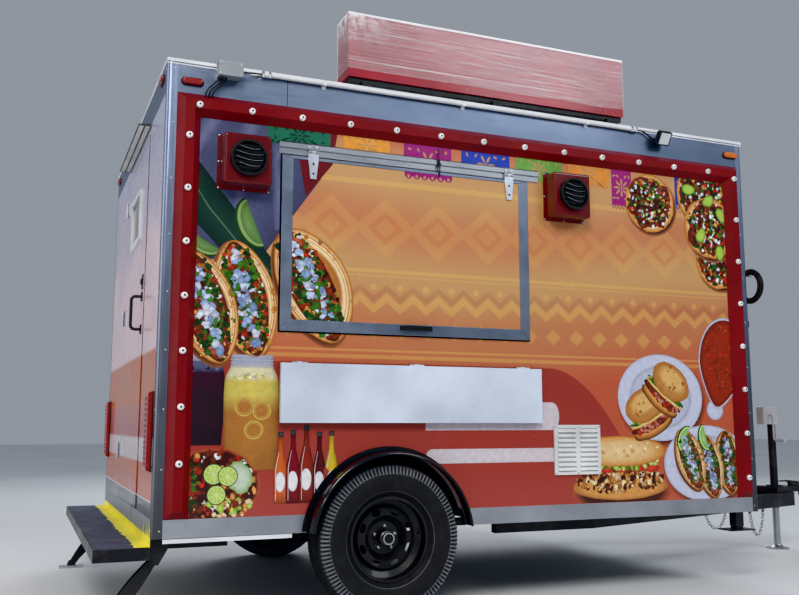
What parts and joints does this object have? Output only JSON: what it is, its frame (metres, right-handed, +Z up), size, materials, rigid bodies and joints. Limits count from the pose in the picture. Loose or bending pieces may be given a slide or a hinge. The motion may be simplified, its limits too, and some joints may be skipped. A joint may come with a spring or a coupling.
{
  "type": "food trailer",
  "caption": "Single-axle food trailer: hollow panelled cabin with lift-up serving hatch, fold-down shelf, rear door and deck, A-frame tongue with jack, blank roof sign.",
  "frame": {"origin": "centre of the tongue jack's foot, on the ground, on the trailer's centreline", "axes": "+X forward to the coupler, +Z up, serving side towards -Y"},
  "size_m": [5.4759, 2.6123, 3.118],
  "materials": {
    "wrap_serving": "printed vinyl wrap over panel",
    "wrap_hatch": "printed vinyl wrap over panel",
    "wrap_plain": "printed vinyl wrap over panel",
    "wrap_rear": "glossy printed vinyl wrap",
    "extrusion": "satin mill finish",
    "roof": "white painted sheet",
    "floor": "bright tread sheet",
    "chassis": "black chassis paint",
    "stabiliser": "worn black paint",
    "zinc": "satin steel",
    "jack_head": "silver cast housing",
    "tyre": "black rubber",
    "wheel": "gloss black",
    "hub": "zinc nuts on a grey casting",
    "fender": "gloss black",
    "red_paint": "gloss red",
    "bulb": "frosted white lens",
    "shelf": "brushed stainless sheet",
    "black_plastic": "satin black",
    "cream": "cream moulded plastic",
    "glass": "dark tinted glass",
    "red_lens": "red lens",
    "amber_lens": "amber lens",
    "conduit": "galvanised steel",
    "sign": "red printed face under clear film"
  },
  "bodies": {
    "trailer": {"serving_wall": "wrap_serving", "offside_wall": "wrap_plain", "front_wall": "wrap_plain", "rear_wall": "wrap_rear", "corner_posts": "extrusion", "body_rails": "extrusion", "door_canopy": "extrusion", "roof_panel": "roof", "floor_sheet": "floor", "wheel_wells": "floor", "floor_frame": "chassis", "main_rails": "chassis", "tongue_beams": "chassis", "coupler": "chassis", "tongue_jack": "chassis", "axle": "chassis", "leaf_springs": "chassis", "rear_deck": "chassis", "stabilisers": "stabiliser", "safety_chains": "zinc", "jack_leg": "zinc", "hatch_header": "zinc", "wall_hinges": "zinc", "coil_hook": "zinc", "jack_head": "jack_head", "fenders": "fender", "serving_trim": "red_paint", "vent_hoods": "red_paint", "trim_bulbs": "bulb", "vent_caps": "black_plastic", "fixed_cables": "black_plastic", "flood_lamp": "black_plastic", "cord_coil": "black_plastic", "cord_lead": "black_plastic", "cord_plug": "black_plastic", "cord_gland": "black_plastic", "sign_base": "black_plastic", "louvre_vent": "cream", "red_lamps": "red_lens", "amber_lamps": "amber_lens", "fascia_conduit": "conduit", "sign_box": "sign"},
    "wheel_near": {"tyre_near": "tyre", "rim_near": "wheel", "hub_near": "hub"},
    "wheel_far": {"tyre_far": "tyre", "rim_far": "wheel", "hub_far": "hub"},
    "hatch": {"hatch_frame": "zinc", "hatch_panel": "wrap_hatch", "hatch_handle": "black_plastic", "hatch_straps": "zinc"},
    "shelf": {"serving_shelf": "shelf"},
    "door": {"door_leaf": "wrap_rear", "door_window_frame": "cream", "door_glass": "glass", "door_handle": "black_plastic", "door_hinge_leaves": "zinc"}
  },
  "joints": [
    {"name": "wheel_near_spin", "type": "hinge", "parent": "trailer", "child": "wheel_near", "pos_m": [-3.691, -1.1165, 0.375], "axis": [0, 1, 0], "continuous": true},
    {"name": "wheel_far_spin", "type": "hinge", "parent": "trailer", "child": "wheel_far", "pos_m": [-3.691, 1.1165, 0.375], "axis": [0, 1, 0], "continuous": true},
    {"name": "hatch_lift", "type": "hinge", "parent": "trailer", "child": "hatch", "pos_m": [-3.57, -1.208, 2.312], "axis": [-1, 0, 0], "range_deg": [0, 92]},
    {"name": "shelf_fold", "type": "hinge", "parent": "trailer", "child": "shelf", "pos_m": [-3.5425, -1.202, 1.241], "axis": [-1, 0, 0], "range_deg": [0, 90]},
    {"name": "door_swing", "type": "hinge", "parent": "trailer", "child": "door", "pos_m": [-4.863, 0.313, 1.5], "axis": [0, 0, -1], "range_deg": [0, 120]}
  ]
}
